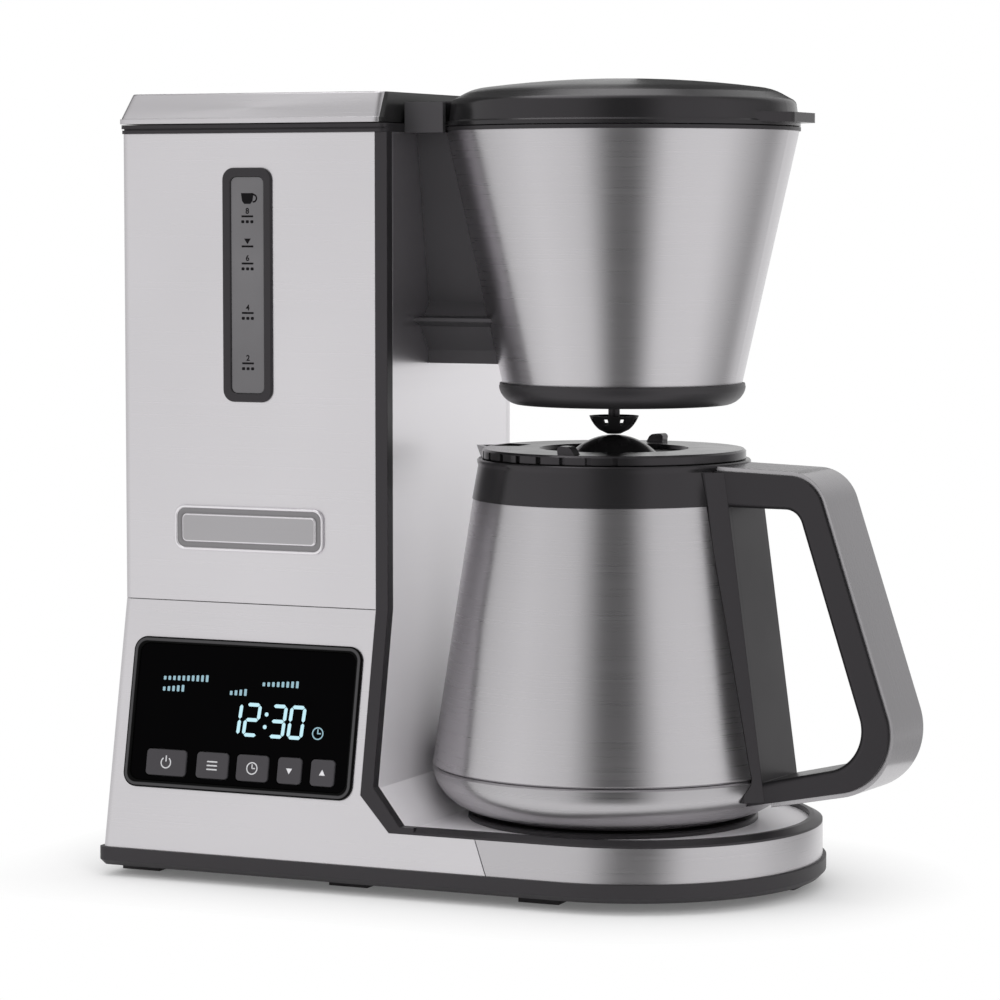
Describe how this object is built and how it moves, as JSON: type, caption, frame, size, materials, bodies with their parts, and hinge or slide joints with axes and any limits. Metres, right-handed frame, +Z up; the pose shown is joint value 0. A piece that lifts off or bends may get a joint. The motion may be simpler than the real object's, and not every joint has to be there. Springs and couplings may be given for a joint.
{
  "type": "drip coffee maker",
  "caption": "Drip coffee maker: steel water tower with display and buttons, hinged brew basket on an arm, and an insulated steel jug on a rounded base.",
  "frame": {"origin": "on the table, within 2 mm of the middle of the plan box", "axes": "+X from the water tower to the jug handle, +Y to the back, +Z up"},
  "size_m": [0.3318, 0.161, 0.33],
  "materials": {
    "steel": "fine horizontal brushing",
    "black": "matte black, fine grain",
    "bright_steel": "brushed round the axis",
    "rubber": "matte",
    "gloss": "polished black",
    "button": "satin dark grey",
    "window": "smoked, see-through grey",
    "tank": "smoked translucent plastic",
    "pin": "bright",
    "aluminium": "as cast",
    "board": "green board",
    "silicone": "milky"
  },
  "bodies": {
    "machine": {"base_tray": "black", "rubber_feet": "rubber", "screw_plugs": "black", "base_band": "steel", "lower_fascia": "steel", "upper_wrap": "steel", "side_panel": "steel", "edge_trim": "black", "rear_cover": "black", "rear_screws": "pin", "cord_gland": "black", "top_frame": "black", "tank_lid_pin": "pin", "water_tank": "tank", "level_bezel": "black", "level_lens": "window", "front_plate": "steel", "display_bezel": "black", "display_lens": "gloss", "key_mat": "rubber", "display_module": "gloss", "control_board": "board", "flow_heater": "aluminium", "heater_stands": "pin", "thermostat": "pin", "inlet_hose": "silicone", "riser_hose": "silicone", "check_valve": "black", "power_board": "board", "brew_arm": "black", "brew_lid_pins": "pin", "water_nozzle": "black", "basket_shell": "bright_steel", "basket_liner": "black", "basket_ring": "black", "valve_seal": "rubber", "valve_spring": "pin", "jug_rest": "rubber"},
    "tank_lid": {"tank_lid": "steel", "tank_lid_liner": "black"},
    "brew_lid": {"brew_lid": "black", "shower_head": "black"},
    "drip_valve": {"drip_valve": "black"},
    "jug": {"jug_shell": "bright_steel", "jug_base_pan": "bright_steel", "jug_foot": "rubber", "jug_liner": "bright_steel", "jug_collar": "black", "jug_handle": "black", "handle_strap": "bright_steel"},
    "jug_lid": {"jug_lid": "black", "jug_lid_seal": "rubber"},
    "brew_button": {"brew_button": "button"},
    "menu_button": {"menu_button": "button"},
    "auto_button": {"auto_button": "button"},
    "down_button": {"down_button": "button"},
    "up_button": {"up_button": "button"}
  },
  "joints": [
    {"name": "tank_lid_hinge", "type": "hinge", "parent": "machine", "child": "tank_lid", "pos_m": [-0.1, 0.0773, 0.3152], "axis": [-1, 0, 0], "range_deg": [0, 95]},
    {"name": "brew_lid_hinge", "type": "hinge", "parent": "machine", "child": "brew_lid", "pos_m": [-0.031, 0, 0.317], "axis": [0, -1, 0], "range_deg": [0, 88]},
    {"name": "drip_valve_lift", "type": "slide", "parent": "machine", "child": "drip_valve", "axis": [0, 0, 1], "range_m": [0, 0.002], "stiffness_N_per_m": 150, "deforming": ["valve_spring"]},
    {"name": "jug_pull", "type": "slide", "parent": "machine", "child": "jug", "axis": [1, 0, 0], "range_m": [0, 0.25]},
    {"name": "jug_lid_turn", "type": "hinge", "parent": "jug", "child": "jug_lid", "pos_m": [0.0354, 0, 0.175], "axis": [0, 0, 1], "range_deg": [0, 70]},
    {"name": "brew_button_press", "type": "slide", "parent": "machine", "child": "brew_button", "axis": [0, 0.9806, -0.1961], "range_m": [0, 0.001], "stiffness_N_per_m": 300},
    {"name": "menu_button_press", "type": "slide", "parent": "machine", "child": "menu_button", "axis": [0, 0.9806, -0.1961], "range_m": [0, 0.001], "stiffness_N_per_m": 300},
    {"name": "auto_button_press", "type": "slide", "parent": "machine", "child": "auto_button", "axis": [0, 0.9806, -0.1961], "range_m": [0, 0.001], "stiffness_N_per_m": 300},
    {"name": "down_button_press", "type": "slide", "parent": "machine", "child": "down_button", "axis": [0, 0.9806, -0.1961], "range_m": [0, 0.001], "stiffness_N_per_m": 300},
    {"name": "up_button_press", "type": "slide", "parent": "machine", "child": "up_button", "axis": [0, 0.9806, -0.1961], "range_m": [0, 0.001], "stiffness_N_per_m": 300}
  ]
}
